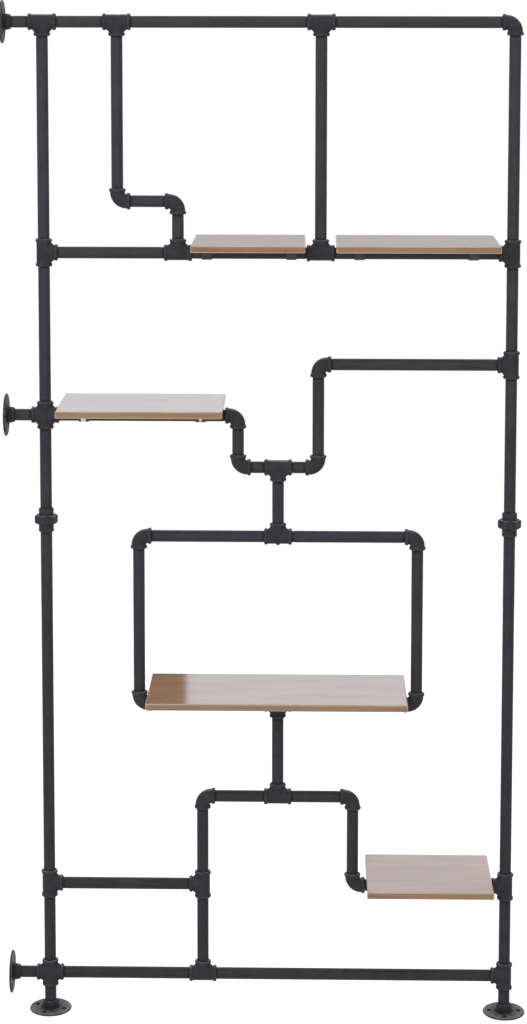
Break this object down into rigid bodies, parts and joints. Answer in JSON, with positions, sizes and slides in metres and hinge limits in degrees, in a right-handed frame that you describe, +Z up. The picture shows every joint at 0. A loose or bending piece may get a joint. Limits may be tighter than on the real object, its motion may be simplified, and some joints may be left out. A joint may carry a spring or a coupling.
{
  "type": "pipe shelving unit",
  "caption": "Tall open shelving unit of threaded iron pipe and beaded fittings, with short wooden boards strapped to its rails and round flanges that fasten it to floor and wall.",
  "frame": {"origin": "on the floor, at the middle of the unit's width and depth", "axes": "+X from the wall flanges to the right post, +Y to the back, +Z up"},
  "size_m": [0.985, 0.2, 1.931],
  "materials": {
    "pipe_paint": "satin charcoal paint on drawn steel pipe",
    "fitting_iron": "matte charcoal paint over cast grain",
    "board_wood": "satin clear coat on straight-grained wood",
    "strap_paint": "satin charcoal paint on pressed strip",
    "screw_steel": "zinc plated"
  },
  "bodies": {
    "root": {"tee_left_post_top": "fitting_iron", "tee_left_post_upper": "fitting_iron", "tee_left_post_lower": "fitting_iron", "tee_right_post_upper": "fitting_iron", "tee_right_post_high": "fitting_iron", "tee_right_post_lower": "fitting_iron", "tee_right_post_bottom": "fitting_iron", "tee_top_rail_outer": "fitting_iron", "tee_top_rail_inner": "fitting_iron", "tee_upper_rail_outer": "fitting_iron", "tee_upper_rail_inner": "fitting_iron", "tee_dip_centre": "fitting_iron", "tee_loop_top": "fitting_iron", "tee_loop_bottom": "fitting_iron", "tee_bridge_top": "fitting_iron", "tee_bridge_leg": "fitting_iron", "tee_bottom_rail": "fitting_iron", "cross_left_post_middle": "fitting_iron", "cross_left_post_bottom": "fitting_iron", "elbow_right_post_top": "fitting_iron", "elbow_jog_outer": "fitting_iron", "elbow_jog_inner": "fitting_iron", "elbow_dip_left_high": "fitting_iron", "elbow_dip_left_low": "fitting_iron", "elbow_dip_right_low": "fitting_iron", "elbow_dip_right_high": "fitting_iron", "elbow_loop_top_left": "fitting_iron", "elbow_loop_top_right": "fitting_iron", "elbow_loop_bottom_left": "fitting_iron", "elbow_loop_bottom_right": "fitting_iron", "elbow_bridge_left": "fitting_iron", "elbow_bridge_right": "fitting_iron", "elbow_leg_foot": "fitting_iron", "union_left_bottom_half": "fitting_iron", "union_left_top_half": "fitting_iron", "union_left_nut": "fitting_iron", "union_right_bottom_half": "fitting_iron", "union_right_top_half": "fitting_iron", "union_right_nut": "fitting_iron", "floor_flange_left": "fitting_iron", "floor_flange_right": "fitting_iron", "wall_flange_top": "fitting_iron", "wall_flange_middle": "fitting_iron", "wall_flange_bottom": "fitting_iron", "left_post_pipes": "pipe_paint", "right_post_pipes": "pipe_paint", "top_rail_pipes": "pipe_paint", "upper_rail_pipes": "pipe_paint", "upper_drop_pipes": "pipe_paint", "middle_rail_pipes": "pipe_paint", "loop_pipes": "pipe_paint", "bridge_pipes": "pipe_paint", "bottom_rail_pipes": "pipe_paint", "shelf_board_upper_left": "board_wood", "shelf_board_upper_right": "board_wood", "shelf_board_middle": "board_wood", "shelf_board_loop": "board_wood", "shelf_board_lower_right": "board_wood", "pipe_straps": "strap_paint", "strap_screws": "screw_steel"}
  },
  "joints": []
}
